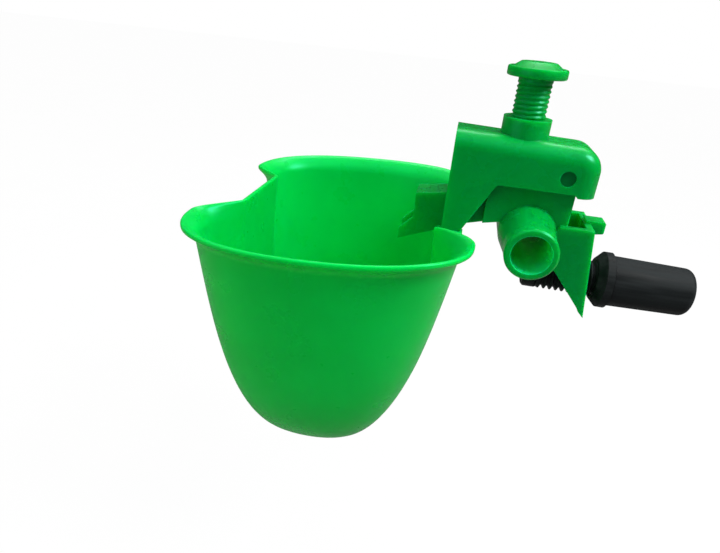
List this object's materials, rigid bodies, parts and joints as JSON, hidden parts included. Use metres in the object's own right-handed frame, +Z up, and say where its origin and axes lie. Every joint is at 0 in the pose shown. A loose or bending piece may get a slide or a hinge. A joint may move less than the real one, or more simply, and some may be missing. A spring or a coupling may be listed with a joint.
{
  "type": "automatic drinking bowl",
  "caption": "Hanging drinking cup whose weight works a small water valve, on a tube fitting with hose ends and a screw clamp for a cage wire or panel.",
  "frame": {"origin": "on the axis of the water tube, midway between its ends", "axes": "+X from the cup towards the wall, +Y along the water tube, +Z up"},
  "size_m": [0.1403, 0.103, 0.1212],
  "materials": {
    "cup_plastic": "glossy moulded polypropylene, bright green",
    "fitting_plastic": "glossy moulded plastic, deeper green",
    "clamp_plastic": "black moulded plastic with a soft sheen",
    "inner_plastic": "natural white moulded plastic",
    "spring_steel": "drawn stainless spring wire",
    "pad_rubber": "soft black rubber"
  },
  "bodies": {
    "valve_body": {"valve_body": "fitting_plastic", "pivot_pin": "fitting_plastic"},
    "yoke": {"yoke": "fitting_plastic", "cup": "cup_plastic", "spring": "spring_steel"},
    "spring_cap": {"spring_cap": "inner_plastic"},
    "adjusting_screw": {"adjusting_screw": "fitting_plastic"},
    "plunger": {"plunger": "inner_plastic", "valve_pad": "pad_rubber"},
    "clamp_washer": {"clamp_washer": "clamp_plastic"},
    "clamp_screw": {"clamp_screw": "clamp_plastic"}
  },
  "joints": [
    {"name": "bowl_tilt", "type": "hinge", "parent": "valve_body", "child": "yoke", "pos_m": [0.007, 0, 0.0168], "axis": [0, 1, 0], "range_deg": [0, 3]},
    {"name": "valve_travel", "type": "slide", "parent": "valve_body", "child": "plunger", "axis": [0, 0, 1], "range_m": [0, 0.00066]},
    {"name": "screw_travel", "type": "slide", "parent": "yoke", "child": "spring_cap", "axis": [0, 0, 1], "range_m": [-0.005, 0], "deforming": ["spring"]},
    {"name": "screw_turn", "type": "hinge", "parent": "spring_cap", "child": "adjusting_screw", "pos_m": [-0.0055, 0, 0.03], "axis": [0, 0, 1], "range_deg": [-1440, 0]},
    {"name": "clamp_travel", "type": "slide", "parent": "valve_body", "child": "clamp_washer", "axis": [1, 0, 0], "range_m": [-0.00175, 0.00525]},
    {"name": "clamp_turn", "type": "hinge", "parent": "clamp_washer", "child": "clamp_screw", "pos_m": [0.0245, 0, -0.0132], "axis": [1, 0, 0], "range_deg": [-360, 1080]}
  ],
  "couplings": [
    {"joint": "valve_travel", "follows": "bowl_tilt", "m_per_rad": 0.0125},
    {"joint": "screw_turn", "follows": "screw_travel", "rad_per_m": 5026.5},
    {"joint": "clamp_turn", "follows": "clamp_travel", "rad_per_m": 3590.4}
  ]
}
